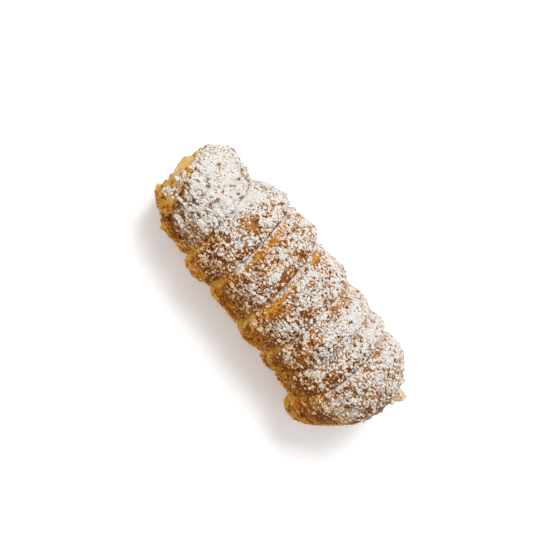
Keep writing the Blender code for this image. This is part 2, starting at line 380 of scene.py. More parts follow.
def hill(angle: float, centre: float, spread: float) -> float:
    """A smooth hill of height 1 round the tube, with its centre and spread in degrees."""
    away = math.remainder(angle - math.radians(centre), math.tau)
    return math.exp(-((away / math.radians(spread)) ** 2))


def tilt_at(angle: float) -> float:
    """From 1 on the side where the bands' far edges stand proud to -1 opposite it."""
    return math.cos(angle - math.radians(20))


def rough(*place: float) -> float:
    """Smooth noise between about -1 and 1."""
    return noise.noise(Vector(place))


def jagged(angle: float, depth: float, scale: float, shift: float) -> float:
    """Smooth noise round the tube, as deep as asked."""
    return depth * rough(scale * math.cos(angle), scale * math.sin(angle), shift)


def mottled(spot: Vector, layers: Mottle, base: float = 0.0) -> float:
    """Smooth noise of several scales and strengths on a base."""
    return sum((strength * rough(*(spot * scale)) for scale, strength in layers), base)


def mixed(mix: Mix, details: Details) -> float:
    """The sum of the details, each with its share."""
    return sum(share * details[name] for name, share in mix)


@dataclass(frozen=True)
class Fade:
    """A smooth change from 0 at low to its strength at high, which may be the lower value of the two."""

    low: float
    high: float
    strength: float = 1.0

    def at(self, value: float) -> float:
        """How strong it is at a value."""
        return self.strength * ramp(value, self.low, self.high)

    def round(self, angle: float) -> float:
        """How strong it is at an angle, where low and high are in degrees."""
        return self.strength * ramp(angle, math.radians(self.low), math.radians(self.high))


@dataclass(frozen=True)
class Patch:
    """A spot of the crust: its place, angle, half-length, half-width and strength, the angles in degrees."""

    place: float
    angle: float
    length: float
    width: float
    strength: float
    faded_out: float = 6.0

    def weight(self, place: float, angle: float) -> float:
        """How strongly the spot acts at a place of the crust.

        Args:
            place: The distance along the tube.
            angle: The angle round it.

        Returns:
            The strength, faded out from the spot's middle.
        """
        along = ((place - self.place) / self.length) ** 2
        if along > self.faded_out:
            return 0.0
        return self.strength * math.exp(-along) * hill(angle, self.angle, self.width)


def patches(*rows: tuple[float, float, float, float, float]) -> tuple[Patch, ...]:
    """Makes a patch of each row."""
    return tuple(Patch(*row) for row in rows)


@dataclass(frozen=True)
class WoundStrip:
    """The outer form: one strip wound in a spiral, whose turns puff up into bands.

    A feature on one side of the tube has a length or depth, and a centre and spread in degrees. Jags and drift
    have a depth, a scale and a shift.
    """

    seam_places: tuple[float, ...] = (-0.0600, -0.0342, -0.0200, -0.0029, 0.0150, 0.0283, 0.0376, 0.0605)
    front_flank: float = math.radians(-21)
    tube_radius: float = 0.0217
    first_radius: float = 0.0193
    first_ends: Fade = Fade(-0.038, -0.028)
    first_sag: Fade = Fade(-0.026, -0.040, 0.0013)
    sag_toward: tuple[float, float] = (0.935, 0.357)
    slimmest: float = 0.02
    mouth_dome: tuple[float, float] = (-0.0500, 0.0112)
    tail_dome: tuple[float, float] = (0.0400, 0.0208)
    hollows: tuple[Patch, ...] = patches(
        (-0.0440, 65, 0.0075, 75, 0.0020), (-0.0520, -105, 0.0055, 42, 0.0040),
    )
    resting_depth: float = 0.0204
    underside_bow: tuple[float, float, float, float] = (0.00017, 0.0061, 0.040, 1.1)
    axis_shift: tuple[float, float] = (-0.0006, 0.0023)
    seam_depth: float = 0.0030
    edge_lift: float = 0.0011
    crown_powers: tuple[float, float, float] = (3.0, 5.0, 1.2)
    edge_lean: float = 0.0009
    lean_start: Fade = Fade(0.20, 0.03)
    lean_end: Fade = Fade(0.80, 0.96)
    ledge: Fade = Fade(0.78, 0.85, 0.0005)
    crags: tuple[tuple[float, ...], ...] = ((0.0012, 8.0, 1.3, 4.7), (0.0009, 22.0, 3.5, 9.1))
    fold: tuple[float, float, float, float, float] = (0.0395, 0.0095, -98, 33, 0.0043)
    pull: tuple[float, float, float] = (0.009, -105, 45)
    pull_turns: tuple[float, float, float] = (3.2, 6.2, 7.4)
    layer_pitch: float = math.radians(15)
    layer_depth: float = 0.0007
    layer_flank: tuple[float, float] = (108, 26)
    layer_drift: tuple[float, float, float] = (0.8, 5.0, 1.0)
    thinned: tuple[float, float] = (0.35, 0.65)
    mouth_edge_place: float = -0.0592
    mouth_jags: tuple[float, float, float] = (0.0007, 3.1, 0.4)
    mouth_slant: tuple[float, float] = (0.0024, math.radians(40))
    mouth_cutback: tuple[float, float, float] = (0.0108, -90, 72)
    mouth_lip_place: float = -0.0592
    lip_jags: tuple[float, float, float] = (0.0012, 5.3, 7.9)
    lip_dips: tuple[tuple[float, float, float], ...] = ((0.0017, -21, 42), (0.0020, -122, 42))
    lip_tip: tuple[float, float, float] = (0.0014, -88, 6)
    tail_edge_place: float = 0.0590
    tail_lip_place: float = 0.0585
    tail_jags: tuple[float, float, float] = (0.0005, 4.0, 2.2)
    flake: tuple[float, float, float] = (0.0030, 42, 17)
    flake_from: float = 0.0558
    flake_pale: tuple[float, Fade] = (1.3, Fade(0.0578, 0.0590))
    table_steps: int = 900
    easing: float = 0.2
    table: tuple[np.ndarray, np.ndarray] = field(init=False, repr=False)

    def __post_init__(self) -> None:
        """Tabulates where each turn of the seam has come to."""
        turns = np.arange(-1.0, len(self.seam_places) + 1)
        first, last = np.diff(self.seam_places)[[0, -1]]
        ends = [self.seam_places[0] - first], self.seam_places, [self.seam_places[-1] + last]
        fine = np.linspace(-1.0, len(self.seam_places), self.table_steps)
        shifts = (-self.easing, 0.0, self.easing)
        eased = [np.interp(fine + shift, turns, np.concatenate(ends)) for shift in shifts]
        object.__setattr__(self, "table", (fine, np.mean(eased, axis=0)))

    def seam_place(self, turn: float) -> float:
        """Where along the tube a number of turns has come to on the front flank."""
        return float(np.interp(turn, *self.table))

    def turn_at(self, place: float) -> float:
        """The turn number at a place along the front flank."""
        return float(np.interp(place, self.table[1], self.table[0]))

    def seam_pull(self, turn: float, angle: float) -> float:
        """How far the last turns slant back on the front flank."""
        depth, centre, spread = self.pull
        return -depth * float(np.interp(turn, self.pull_turns, (0.0, 1.0, 0.0))) * hill(angle, centre, spread)

    def envelope(self, place: float) -> float:
        """The tube's outer radius over the crowns of the bands.

        Args:
            place: The distance along the tube.

        Returns:
            The radius.
        """
        radius = self.first_radius + (self.tube_radius - self.first_radius) * self.first_ends.at(place)
        mouthward = max(self.mouth_dome[0] - place, 0.0) / self.mouth_dome[1]
        tailward = max(min(place, self.tail_edge_place) - self.tail_dome[0], 0.0) / self.tail_dome[1]
        return radius * math.sqrt(max(1 - mouthward**2 - tailward**2, self.slimmest))

    def mouth_edge(self, angle: float) -> float:
        """Where the crust ends at the mouth.

        Args:
            angle: The angle round the tube.

        Returns:
            The place along the tube.
        """
        slant = self.mouth_slant[0] * (1 - math.cos(angle - self.mouth_slant[1])) / 2
        depth, centre, spread = self.mouth_cutback
        edge = self.mouth_edge_place + slant + depth * hill(angle, centre, spread)
        return edge + jagged(angle, *self.mouth_jags)

    def mouth_lip(self, angle: float) -> float:
        """Where the bore's lip ends at the mouth, with one sharp tip of a broken layer.

        Args:
            angle: The angle round the tube.

        Returns:
            The place along the tube.
        """
        dip = sum(depth * hill(angle, centre, spread) for depth, centre, spread in self.lip_dips)
        length, centre, spread = self.lip_tip
        tip = length * hill(angle, centre, spread)
        return self.mouth_lip_place + dip + jagged(angle, *self.lip_jags) - tip

    def tail_edge(self, angle: float) -> float:
        """Where the crust ends at the tail, with a flake that stands out."""
        length, centre, spread = self.flake
        return self.tail_edge_place + length * hill(angle, centre, spread)

    def tail_flake(self, place: float, angle: float) -> float:
        """1 on the flake that stands out at the tail, and 0 elsewhere."""
        (_, centre, spread), (wider, near_edge) = self.flake, self.flake_pale
        return hill(angle, centre, wider * spread) * near_edge.at(place)

    def dome_place(self, place: float, angle: float) -> float:
        """The place that sets the tube's radius: the flake runs on straight from where the dome bends in."""
        _, centre, spread = self.flake
        return place - max(place - self.flake_from, 0.0) * hill(angle, centre, spread)

    def tail_lip(self, angle: float) -> float:
        """Where the bore's lip ends at the tail."""
        return self.tail_lip_place + jagged(angle, *self.tail_jags)

    def crown(self, across: float, tilt: float) -> float:
        """The puffed section of the strip: 0 at its edges and 1 over its crown.

        Args:
            across: The share across the strip.
            tilt: From 1 where its far edge stands proud to -1.

        Returns:
            The height's share.
        """
        proud = tilt if across > 0.5 else -tilt
        power, more, less = self.crown_powers
        power += (more if proud > 0 else less) * proud
        return math.sqrt(max(1 - abs(2 * across - 1) ** power, 0.0))

    def split_layers(self, angle: float, along: float) -> float:
        """Steps of opened layers on the lower flanks.

        Args:
            angle: The angle round the tube.
            along: The distance along the strip, in turns.

        Returns:
            The height of the step there.
        """
        centre, spread = self.layer_flank
        share = hill(angle, -centre, spread) + hill(angle, centre, spread)
        drift = jagged(along, *self.layer_drift)
        return self.layer_depth * share * ((abs(angle) / self.layer_pitch + drift) % 1.0 - 0.5)

    def strip_place(self, turn: float, angle: float) -> tuple[float, float]:
        """How far across the strip a point lies, and how far along it, in turns.

        Args:
            turn: The turn number, counted on the front flank.
            angle: The angle round the tube.

        Returns:
            The share across the strip and the distance along it.
        """
        wound = turn + (angle - self.front_flank) / math.tau
        band = math.floor(wound + 1e-9)
        return max(wound - band, 0.0), band - angle / math.tau

    def point(self, turn: float, angle: float) -> Vector:
        """A point of the outer face.

        Args:
            turn: The turn number, counted on the front flank.
            angle: The angle round the tube.

        Returns:
            The point, with the tube's axis on X.
        """
        across, along = self.strip_place(turn, angle)
        tilt = tilt_at(angle)
        lean = max(tilt, 0) * self.lean_end.at(across) - max(-tilt, 0) * self.lean_start.at(across)
        place = self.seam_place(turn) + self.seam_pull(turn, angle)
        full_radius = self.envelope(self.dome_place(place, angle))
        size = full_radius / self.tube_radius
        crown = self.crown(across, tilt)
        height = self.seam_depth * (crown - 1) + self.edge_lift * tilt * (2 * across - 1) * crown
        height += self.split_layers(angle, along) - max(tilt, 0) * self.ledge.at(across)
        for rise, long, wide, shift in self.crags:
            height += rise * rough(long * along, wide * across, shift)
        height -= sum(hollow.weight(place, angle) for hollow in self.hollows)
        middle, length, centre, spread, rise = self.fold
        height += rise * math.exp(-(((place - middle) / length) ** 4)) * hill(angle, centre, spread)
        radius = full_radius + height * (self.thinned[0] + self.thinned[1] * size)
        aside, down = (self.first_sag.at(place) * share for share in self.sag_toward)
        place += self.edge_lean * lean * size
        return Vector((place, radius * math.sin(angle) - aside, radius * math.cos(angle) - down))

    def underside(self, place: float) -> float:
        """The height of the flattened underside, bowed up a hair between the outer bands.

        Args:
            place: The distance along the tube.

        Returns:
            The height over the tube's axis, below 0.
        """
        rise, middle, reach, fullness = self.underside_bow
        bow = fullness * (1 - ((place - middle) / reach) ** 2)
        return rise * min(max(bow, 0.0), 1.0) - self.resting_depth

    def set_down(self, bm: BMesh) -> None:
        """Flattens the underside and moves the mesh onto the ground.

        Args:
            bm: The mesh.
        """
        for vert in bm.verts:
            vert.co.z = max(vert.co.z, self.underside(vert.co.x))
        bmesh.ops.translate(bm, verts=bm.verts, vec=(*self.axis_shift, self.resting_depth))


@dataclass(frozen=True)
class Bore:
    """The hollow of the tube, which the custard fills."""

    radius: float = 0.0112
    mouth_radius: float = 0.0088
    tail_radius: float = 0.0060
    mouth_shift: tuple[float, float] = (-0.0030, -0.0011)
    flare: tuple[float, float, float] = (0.0066, -0.052, 0.005)
    flare_side: tuple[float, float] = (-21, 42)
    narrowed: tuple[Fade, Fade] = (Fade(-0.036, -0.056), Fade(0.030, 0.056))
    stations: tuple[float, ...] = (-0.052, -0.045, -0.020, 0.020, 0.045, 0.054)

    def point(self, place: float, angle: float, gap: float = 0.0) -> Vector:
        """A point of the wall, or of what keeps a gap to it.

        Args:
            place: The distance along the tube.
            angle: The angle round it.
            gap: The clearance to the wall.

        Returns:
            The point, with the tube's axis on X.
        """
        mouthward, tailward = (fade.at(place) for fade in self.narrowed)
        radius = self.radius + (self.mouth_radius - self.radius) * mouthward
        radius += (self.tail_radius - self.radius) * tailward - gap
        depth, start, length = self.flare
        radius += depth * max(start - place, 0) / length * hill(angle, *self.flare_side)
        shift_y, shift_z = (shift * mouthward for shift in self.mouth_shift)
        return Vector((place, radius * math.sin(angle) + shift_y, radius * math.cos(angle) + shift_z))


# ---------------------------------------------------------------- mesh tools


def only(kind: type, items: Iterable[object]) -> list:
    """Those of the items that are of one kind."""
    return [item for item in items if isinstance(item, kind)]


def turn_round(offset: float, steps: int) -> float:
    """The share of a whole turn at which a row of a grid is wound, from the row's offset from its middle."""
    return round((offset + 0.5) * steps) / steps


def face_outward(bm: BMesh) -> None:
    """Cuts the mesh into triangles and turns them all outward.

    Args:
        bm: The mesh.
    """
    bmesh.ops.triangulate(bm, faces=bm.faces)
    bmesh.ops.recalc_face_normals(bm, faces=bm.faces)
    if bm.calc_volume(signed=True) < 0:
        bmesh.ops.reverse_faces(bm, faces=bm.faces)


def put(name: str, data: bpy.types.ID) -> Object:
    """Adds an object to the scene.

    Args:
        name: The object's name.
        data: Its mesh, camera or light.

    Returns:
        The object.
    """
    obj = bpy.data.objects.new(name, data)
    bpy.context.scene.collection.objects.link(obj)
    return obj


def extend_ring(bm: BMesh, ring: Ring, settle: Callable[[BMVert], Vector]) -> Ring:
    """Extrudes a ring of edges and moves each new vertex.

    Args:
        bm: The mesh.
        ring: The open edges.
        settle: Gives a new vertex its place.

    Returns:
        The new ring.
    """
    made = bmesh.ops.extrude_edge_only(bm, edges=ring)["geom"]
    for vert in only(BMVert, made):
        vert.co = settle(vert)
    return [edge for edge in only(BMEdge, made) if edge.is_boundary]


def piece_from(bm: BMesh, name: str, material: Material, slot: Slot) -> Object:
    """Makes a smooth-shaded piece that rides on the pastry.

    Args:
        bm: Its mesh, which is freed.
        name: The piece's name.
        material: Its finish.
        slot: Not used.

    Returns:
        The piece.
    """
    mesh = bpy.data.meshes.new(name)
    bm.to_mesh(mesh)
    bm.free()
    mesh.shade_smooth()
    mesh.materials.append(material)
    obj = put(name, mesh)
    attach(obj, "root")
    log.info("%s: %d faces", name, len(mesh.polygons))
    return obj


# ---------------------------------------------------------------- crust


@dataclass(frozen=True)
class Spot:
    """A point of the crust: how far it faces up, its angle, its place on the strip and how puffed that is."""

    co: Vector
    facing: float
    angle: float
    along: float
    across: float
    crown: float


@dataclass(frozen=True)
class CrustRelief:
    """The crust's fine relief, its browning, and how thick the icing sugar lies on it.

    A mottle's pairs are a scale and a strength, and a mix's pairs are a detail and its share.
    """

    arc_radius: float = 0.0217
    lump_scale: float = 680.0
    lump_gap: float = 0.55
    flaky_scales: tuple[float, float, float] = (150.0, 430.0, 430.0)
    flaky_drift: Mottle = ((300, 0.5),)
    flaky_sharpness: float = 3.2
    flaky_flank: Fade = Fade(50, 75)
    crack_edges: Mottle = ((380, 1.0), (900, 0.6))
    crack_gaps: Fade = Fade(-0.45, 0.35)
    seam_wander: Mottle = ((330, 0.035),)
    seam_width: Fade = Fade(0.13, 0.04)
    seam_front: Fade = Fade(34, 70)
    seam_tailward: Fade = Fade(0.016, 0.028, 0.7)
    seam_back: Fade = Fade(72, 96)
    film_first: Fade = Fade(-0.030, -0.038, 0.70)
    film_last: Fade = Fade(0.036, 0.050, 0.30)
    film_above: Fade = Fade(85, 62)
    film_far: Fade = Fade(20, 55, 0.35)
    film_facing: float = 0.20
    film_most: float = 0.9
    pit_scale: float = 400.0
    pit_shift: tuple[float, float, float] = (3.1, 0.2, 7.7)
    pit_sharpness: float = 3.0
    ridge_least: float = 0.30
    ridge_middle: float = math.radians(12)
    ridge_flanks: Fade = Fade(25, 55, 0.70)
    ridge_first: tuple[Fade, Fade] = (Fade(-0.034, -0.040, 0.80), Fade(0, 30))
    ridge_tail: tuple[Fade, Fade] = (Fade(0.044, 0.054, 0.50), Fade(40, 65))
    ridge_sizes: tuple[tuple[float, ...], ...] = ((260, 620, 2.7, 1.0), (620, 1250, 6.1, 0.6))
    groove_over: Fade = Fade(0.0, 0.6)
    groove_width: Fade = Fade(0.13, 0.05)
    chunk_scale: float = 300.0
    chunk_odds: tuple[float, float] = (0.86, 0.5)
    chunk_draw: float = 7.3
    chunk_reach: float = 0.44
    brushed_place: tuple[float, float] = (0.17, 0.060)
    brushed_bands: Fade = Fade(-0.034, -0.026)
    brushed_gaps: Fade = Fade(-0.35, 0.15)
    brushed_tailward: Fade = Fade(0.0, 0.02, 0.5)
    layer_flank: Fade = Fade(58, 85)
    layer_pitch: float = math.radians(3.4)
    layer_drift: Mottle = ((160, 1.1),)

    sugar_base: float = -0.88
    sugar_falls: Fade = Fade(-0.15, 0.78, 1.10)
    sugar_far: Fade = Fade(25, 60, 0.34)
    sugar_low: Fade = Fade(60, 86, 0.62)
    # Bare dark crust along the proud edges' drop. Part of it is where sugar does not stay on the steep edge,
    # and part is a painted shade line under the edge.
    sugar_edge: Fade = Fade(0.925, 0.965, 0.9)
    sugar_first: tuple[Fade, Fade] = (Fade(-0.032, -0.040, 0.26), Fade(0.45, 0.8))
    sugar_noise: Mottle = ((75, 0.26), (210, 0.34), (560, 0.35))
    # The flakes' share puts thin sugar on their ridge tops, partly dust and partly painted highlight.
    sugar_mix: Mix = (
        ("groove", 0.50), ("brushed", -0.40), ("seam", -0.50), ("crumple", 0.65), ("chunks", 0.90),
        ("flakes", 0.32), ("lumps", 0.80), ("pits", -2.2), ("cracked", -600.0),
    )

    brown_base: float = 0.265
    brownest: float = 0.92
    brown_noise: Mottle = ((120, 0.30), (420, 0.16))
    brown_crown: Fade = Fade(0.25, 0.85, 0.62)
    brown_front: Fade = Fade(28, 60, 0.22)
    brown_edge: Fade = Fade(0.7, 0.95, 0.20)
    brown_flank: Fade = Fade(60, 95)
    # More browning on the flanks, and less on the flakes' ridge tops, which is painted highlight.
    brown_layers: tuple[float, float] = (0.08, 0.70)
    pale_far: Fade = Fade(25, 60, 0.55)
    pale_tail: tuple[Fade, Fade] = (Fade(0.040, 0.052, 0.35), Fade(45, 70))
    # Of these, crumple paints shade into the crevices between its ridges and highlight onto the ridges.
    brown_mix: Mix = (
        ("brushed", -0.55), ("crumple", -0.55), ("seam", -0.55), ("layers", 0.55), ("lumps", -0.45),
    )
    # Painted shade: the crust darker in the sugar's pits and in the cracks.
    painted_hole_shade: Mix = (("pits", 0.4), ("cracked", 900.0))

    height_noise: Mottle = ((330, 0.00030), (850, 0.00018))
    height_mix: Mix = (("crumple", 0.00060), ("layers", 0.00055), ("flakes", 0.00045), ("cracked", -1.0))
    line_places: tuple[float, ...] = (0.66, 0.74, 0.82)
    line_bands: Fade = Fade(0.002, 0.012)
    line_gaps: Fade = Fade(-0.25, 0.25, 0.00040)
    line_width: float = 0.013
    sugar_depth: float = 0.00055
    sugar_lumps: tuple[float, float] = (0.5, 0.9)
    chunk_height: float = 0.0009
    bare: tuple[Patch, ...] = patches(
        (-0.0287, -5, 0.0030, 8, 0.60), (-0.0223, -29, 0.0014, 9, 0.70), (-0.0315, -41, 0.0018, 5, 0.70),
        (-0.0240, -52, 0.0030, 10, 0.35), (-0.0174, -21, 0.0014, 7, 0.80), (-0.0143, -44, 0.0024, 9, 0.55),
        (-0.0080, 15, 0.0022, 7, 0.85), (-0.0059, -13, 0.0020, 13, 0.90), (-0.0120, -24, 0.0020, 7, 0.40),
        (-0.0170, 38, 0.0020, 14, 0.35), (-0.0018, 33, 0.0018, 18, 0.25), (0.0024, -40, 0.0028, 11, 0.95),
        (0.0105, -15, 0.0018, 8, 0.60), (0.0165, 17, 0.0013, 11, 0.50), (0.0160, 1, 0.0010, 5, 0.55),
        (0.0190, -25, 0.0028, 9, 0.50), (0.0225, -52, 0.0040, 12, 0.45), (0.0345, -38, 0.0022, 9, 0.60),
        (0.0340, -66, 0.0045, 12, 0.60), (0.0490, -17, 0.0012, 6, 0.50), (-0.0427, -14, 0.0011, 4, 0.95),
        (-0.0445, -27, 0.0020, 5, 0.50), (-0.0425, 44, 0.0050, 9, 0.75), (0.0430, -80, 0.0100, 18, 0.60),
        (-0.0490, -48, 0.0080, 20, 0.36),
    )
    drifts: tuple[Patch, ...] = patches(
        (-0.0480, -4, 0.0100, 34, 0.34), (-0.0360, -8, 0.0032, 40, 0.55), (-0.0330, 24, 0.0060, 14, 0.60),
        (-0.0263, 3, 0.0017, 6, 0.75), (-0.0239, -16, 0.0014, 6, 0.80), (-0.0115, 20, 0.0030, 9, 0.45),
        (-0.0082, -17, 0.0017, 7, 0.90), (-0.0103, -43, 0.0016, 6, 0.80), (-0.0193, -31, 0.0012, 7, 0.90),
        (-0.0179, -44, 0.0011, 6, 0.90), (-0.0043, -40, 0.0010, 5, 0.90), (0.0310, 22, 0.0032, 26, 0.60),
        (0.0230, 10, 0.0040, 24, 0.35), (0.0420, 16, 0.0045, 20, 0.35), (0.0420, -46, 0.0022, 8, 0.35),
        (0.0300, -42, 0.0020, 12, 0.35), (-0.0560, -58, 0.0035, 12, 1.10), (0.0210, 22, 0.0040, 18, 0.55),
        (-0.0455, -58, 0.0085, 17, 0.12), (-0.0578, 38, 0.0030, 34, 0.60), (0.0560, -40, 0.0050, 24, 0.18),
    )
    cracks: tuple[Patch, ...] = patches(
        (-0.0228, -85, 0.0024, 2.6, 0.0016), (-0.0245, -76, 0.0014, 1.8, 0.0010),
        (-0.0105, -92, 0.0040, 2.0, 0.0012), (0.0060, -90, 0.0040, 2.2, 0.0010),
        (0.0470, -70, 0.0040, 1.6, 0.0004), (-0.0300, 88, 0.0045, 2.4, 0.0012),
        (0.0180, 92, 0.0050, 2.2, 0.0012),
    )

    def lumps(self, spot: Spot) -> float:
        """Rounded clumps, from 0 between them to 1 on top."""
        nearest, second = noise.voronoi(spot.co * self.lump_scale)[0][:2]
        return ramp(second - nearest, 0.0, self.lump_gap)

    def flakes(self, spot: Spot) -> float:
        """Thin ridges of lifted layers on the lower flanks.

        Args:
            spot: The point.

        Returns:
            0 between them, 1 along their tops.
        """
        along, beside, level = self.flaky_scales
        drift = mottled(spot.co, self.flaky_drift)
        off = abs(rough(spot.co.x * along + drift, spot.co.y * beside + drift, spot.co.z * level))
        return max(1 - self.flaky_sharpness * off, 0.0) * self.flaky_flank.round(abs(spot.angle))

    def cracked(self, spot: Spot) -> float:
        """How deep the ragged cracks between the layers are."""
        depth = sum(crack.weight(spot.co.x, spot.angle) for crack in self.cracks)
        return depth and depth * self.crack_gaps.at(mottled(spot.co, self.crack_edges))

    def seam(self, spot: Spot) -> float:
        """The pale seams of the flanks, where the bands shaded each other.

        Args:
            spot: The point.

        Returns:
            1 in a seam, 0 elsewhere.
        """
        beside = self.seam_width.at(min(spot.across, 1 - spot.across) + mottled(spot.co, self.seam_wander))
        front = self.seam_front.round(-spot.angle) * (1 - self.seam_tailward.at(spot.co.x))
        return beside * (front + self.seam_back.round(spot.angle))

    def film(self, spot: Spot) -> float:
        """How much fine powder dulls the bare crust.

        Args:
            spot: The point.

        Returns:
            0 where the crust is clear, towards 1 where it is dulled.
        """
        ends = self.film_first.at(spot.co.x) + self.film_last.at(spot.co.x)
        film = ends * self.film_above.round(abs(spot.angle)) + self.film_far.round(spot.angle)
        return min(film + self.film_facing * max(spot.facing, 0.0), self.film_most)

    def pits(self, spot: Spot) -> float:
        """Small holes in the sugar, from 0 between them to 1 in their middle."""
        off = noise.voronoi(spot.co * self.pit_scale + Vector(self.pit_shift))[0][0]
        return max(1 - self.pit_sharpness * off, 0.0)

    def crumple(self, spot: Spot) -> float:
        """Short ridges that run along the tube, strongest on the flanks.

        Args:
            spot: The point.

        Returns:
            About -1 between the ridges to 1 on them.
        """
        share = self.ridge_least + self.ridge_flanks.round(abs(spot.angle - self.ridge_middle))
        for along, beside in (self.ridge_first, self.ridge_tail):
            share += along.at(spot.co.x) * beside.round(-spot.angle)
        arc, total = spot.angle * self.arc_radius, 0.0
        for long, wide, shift, part in self.ridge_sizes:
            total += part * rough(spot.co.x * long, arc * wide, shift)
        return share * total

    def chunks(self, spot: Spot, sheltered: float) -> float:
        """Scattered big clumps.

        Args:
            spot: The point.
            sheltered: Towards 1 where more of them have stayed.

        Returns:
            0 between them, 1 on top.
        """
        distances, places = noise.voronoi(spot.co * self.chunk_scale)
        rarity, more = self.chunk_odds
        chosen = noise.cell(places[0] * self.chunk_draw) > rarity - more * sheltered
        return math.sqrt(max(1 - (distances[0] / self.chunk_reach) ** 2, 0.0)) * chosen

    def brushed(self, spot: Spot) -> float:
        """The smooth golden strip that the sugar slid off, beside a groove.

        Args:
            spot: The point.

        Returns:
            1 on the strip, 0 elsewhere.
        """
        middle, width = self.brushed_place
        strip = math.exp(-(((spot.across - middle) / width) ** 2)) * self.brushed_bands.at(spot.co.x)
        gaps = self.brushed_gaps.at(rough(spot.co.x * 60, spot.angle * 2.1, 5.5))
        return strip * gaps * (1 - self.brushed_tailward.at(spot.co.x))

    def layers(self, spot: Spot) -> float:
        """The opened layers of the flanks.

        Args:
            spot: The point.

        Returns:
            From -0.5 to 0.5 over each layer, and 0 off the flanks.
        """
        drift = mottled(spot.co, self.layer_drift, 1.6 * rough(9 * spot.along, 2.2 * spot.across, 3.3))
        share = (abs(spot.angle) / self.layer_pitch + drift) % 1.0 - 0.5
        return self.layer_flank.round(abs(spot.angle)) * share

    def details(self, spot: Spot) -> Details:
        """Everything that shapes the crust's surface at a point.

        Args:
            spot: The point.

        Returns:
            How strong each detail is there, by its name.
        """
        groove = self.groove_over.at(tilt_at(spot.angle)) * self.groove_width.at(spot.across)
        found = {"groove": groove, "chunks": self.chunks(spot, groove)}
        flat = self.brushed, self.seam, self.crumple, self.flakes, self.layers
        return found | {part.__name__: part(spot) for part in (*flat, self.lumps, self.pits, self.cracked)}

    def sugar(self, spot: Spot, details: Details) -> float:
        """How thick the sugar lies.

        Args:
            spot: The point.
            details: The crust's details there.

        Returns:
            Above 0 where sugar covers the crust.
        """
        angle, place = spot.angle, spot.co.x
        amount = mottled(spot.co, self.sugar_noise, self.sugar_base) + mixed(self.sugar_mix, details)
        amount += self.sugar_falls.at(spot.facing)
        amount += self.sugar_far.round(angle) - self.sugar_low.round(-angle)
        # Bare crust along the proud edge: partly sugar that does not stay there, partly painted shade under
        # the edge.
        amount -= max(tilt_at(angle), 0.0) * self.sugar_edge.at(spot.across)
        amount += self.sugar_first[0].at(place) * self.sugar_first[1].at(spot.facing)
        amount += sum(patch.weight(place, angle) for patch in self.drifts)
        return amount - sum(patch.weight(place, angle) for patch in self.bare)

    def bake(self, spot: Spot, details: Details) -> float:
        """How brown the crust is.

        Args:
            spot: The point.
            details: The crust's details there.

        Returns:
            Below 0 for the pale inside, 0 in the seams, 1 and over where it is brownest or holds the painted
            shade of the pits and cracks.
        """
        flank = self.brown_flank.round(abs(spot.angle))
        more, less = self.brown_layers
        brown = mottled(spot.co, self.brown_noise, self.brown_base) + mixed(self.brown_mix, details)
        # The flakes' ridge tops are paler on the flanks: painted highlight.
        brown += self.brown_crown.at(spot.crown) + flank * (more - less * details["flakes"])
        brown += (self.brown_front.round(-spot.angle) + self.brown_edge.at(spot.across)) * (1 - flank)
        brown -= self.pale_tail[0].at(spot.co.x) * self.pale_tail[1].round(-spot.angle)
        brown -= self.pale_far.round(spot.angle)
        # Adds the painted shade of the pits and cracks.
        return min(brown, self.brownest) + mixed(self.painted_hole_shade, details)

    def height(self, spot: Spot, details: Details) -> float:
        """The bare crust's fine relief, with thin lines of layers along the bands' proud edges.

        Args:
            spot: The point.
            details: The crust's details there.

        Returns:
            The height over the strip's form.
        """
        rise = mottled(spot.co, self.height_noise) + mixed(self.height_mix, details)
        proud = max(tilt_at(spot.angle), 0.0) * self.line_bands.at(spot.co.x)
        for line in self.line_places:
            depth = self.line_gaps.at(rough(6 * spot.along, 40 * line, 8.0))
            rise -= proud * depth * math.exp(-(((spot.across - line) / self.line_width) ** 2))
        return rise


